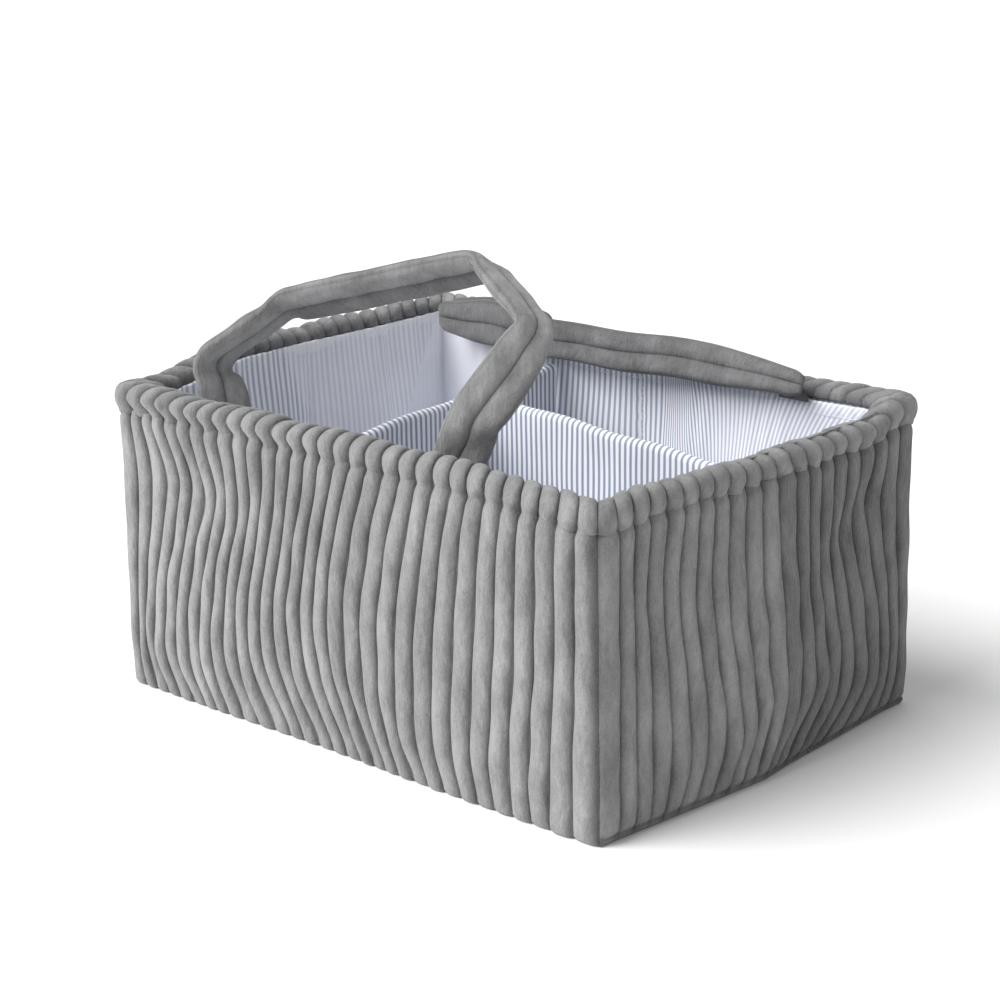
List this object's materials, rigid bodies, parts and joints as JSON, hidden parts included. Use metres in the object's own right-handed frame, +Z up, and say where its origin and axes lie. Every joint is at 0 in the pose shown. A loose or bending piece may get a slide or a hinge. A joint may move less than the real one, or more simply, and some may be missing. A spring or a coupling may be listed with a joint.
{
  "type": "soft storage caddy",
  "caption": "Soft rectangular open caddy of plush wide-wale corduroy with a puffed bound rim, striped lining, gathered inner pockets, a T divider and padded strap handles.",
  "frame": {"origin": "on the floor, under the middle of the caddy", "axes": "+X along the long side, to the right seen from the front; +Y to the rear; +Z up"},
  "size_m": [0.3794, 0.2794, 0.2867],
  "materials": {
    "corduroy": "plush wide-wale grey corduroy",
    "striped_cotton": "white cotton with fine blue-grey stripes",
    "wall_foam": "stiff felted foam sheet",
    "stiffener": "thin stiff board",
    "elastic": "woven elastic",
    "webbing": "flat woven webbing"
  },
  "bodies": {
    "body": {"front_outer_panel": "corduroy", "right_outer_panel": "corduroy", "rear_outer_panel": "corduroy", "left_outer_panel": "corduroy", "base_panel": "corduroy", "front_wall_board": "wall_foam", "right_wall_board": "wall_foam", "rear_wall_board": "wall_foam", "left_wall_board": "wall_foam", "base_board": "stiffener", "front_lining": "striped_cotton", "right_lining": "striped_cotton", "rear_lining": "striped_cotton", "left_lining": "striped_cotton", "base_lining": "striped_cotton", "front_rim_binding": "corduroy", "right_rim_binding": "corduroy", "rear_rim_binding": "corduroy", "left_rim_binding": "corduroy", "front_pocket": "striped_cotton", "right_pocket": "striped_cotton", "rear_pocket": "striped_cotton", "left_pocket": "striped_cotton", "front_pocket_elastic": "elastic", "right_pocket_elastic": "elastic", "rear_pocket_elastic": "elastic", "left_pocket_elastic": "elastic", "divider_cross_cover": "striped_cotton", "divider_cross_board": "stiffener", "divider_seam_tape": "striped_cotton", "front_handle_left_tab": "corduroy", "front_handle_right_tab": "corduroy", "rear_handle_left_tab": "corduroy", "rear_handle_right_tab": "corduroy"},
    "front_handle": {"front_handle_cover": "corduroy", "front_handle_webbing": "webbing"},
    "rear_right_leg": {"rear_handle_right_leg": "corduroy", "rear_handle_right_leg_webbing": "webbing"},
    "rear_grip": {"rear_handle_grip": "corduroy", "rear_handle_grip_webbing": "webbing"},
    "rear_left_leg": {"rear_handle_left_leg": "corduroy", "rear_handle_left_leg_webbing": "webbing"},
    "divider_long": {"divider_long_cover": "striped_cotton", "divider_long_board": "stiffener"}
  },
  "joints": [
    {"name": "front_handle_swing", "type": "hinge", "parent": "body", "child": "front_handle", "pos_m": [-0.02, -0.1139, 0.1965], "axis": [1, 0, 0], "range_deg": [-55, 95]},
    {"name": "rear_handle_raise", "type": "hinge", "parent": "body", "child": "rear_right_leg", "pos_m": [0.116, 0.1106, 0.1965], "axis": [0, 1, 0], "range_deg": [0, 150]},
    {"name": "rear_grip_fold", "type": "hinge", "parent": "rear_right_leg", "child": "rear_grip", "pos_m": [0.05, 0.1003, 0.1965], "axis": [0, 1, 0], "range_deg": [-150, 0]},
    {"name": "rear_left_fold", "type": "hinge", "parent": "rear_grip", "child": "rear_left_leg", "pos_m": [-0.142, 0.1106, 0.1965], "axis": [0, 1, 0], "range_deg": [0, 150]},
    {"name": "divider_swing", "type": "hinge", "parent": "body", "child": "divider_long", "pos_m": [-0.04355, 0.0282, 0.09], "axis": [0, 0, 1], "range_deg": [-31, 31]}
  ],
  "couplings": [
    {"joint": "rear_grip_fold", "follows": "rear_handle_raise", "ratio": -1},
    {"joint": "rear_left_fold", "follows": "rear_handle_raise", "ratio": 1}
  ]
}
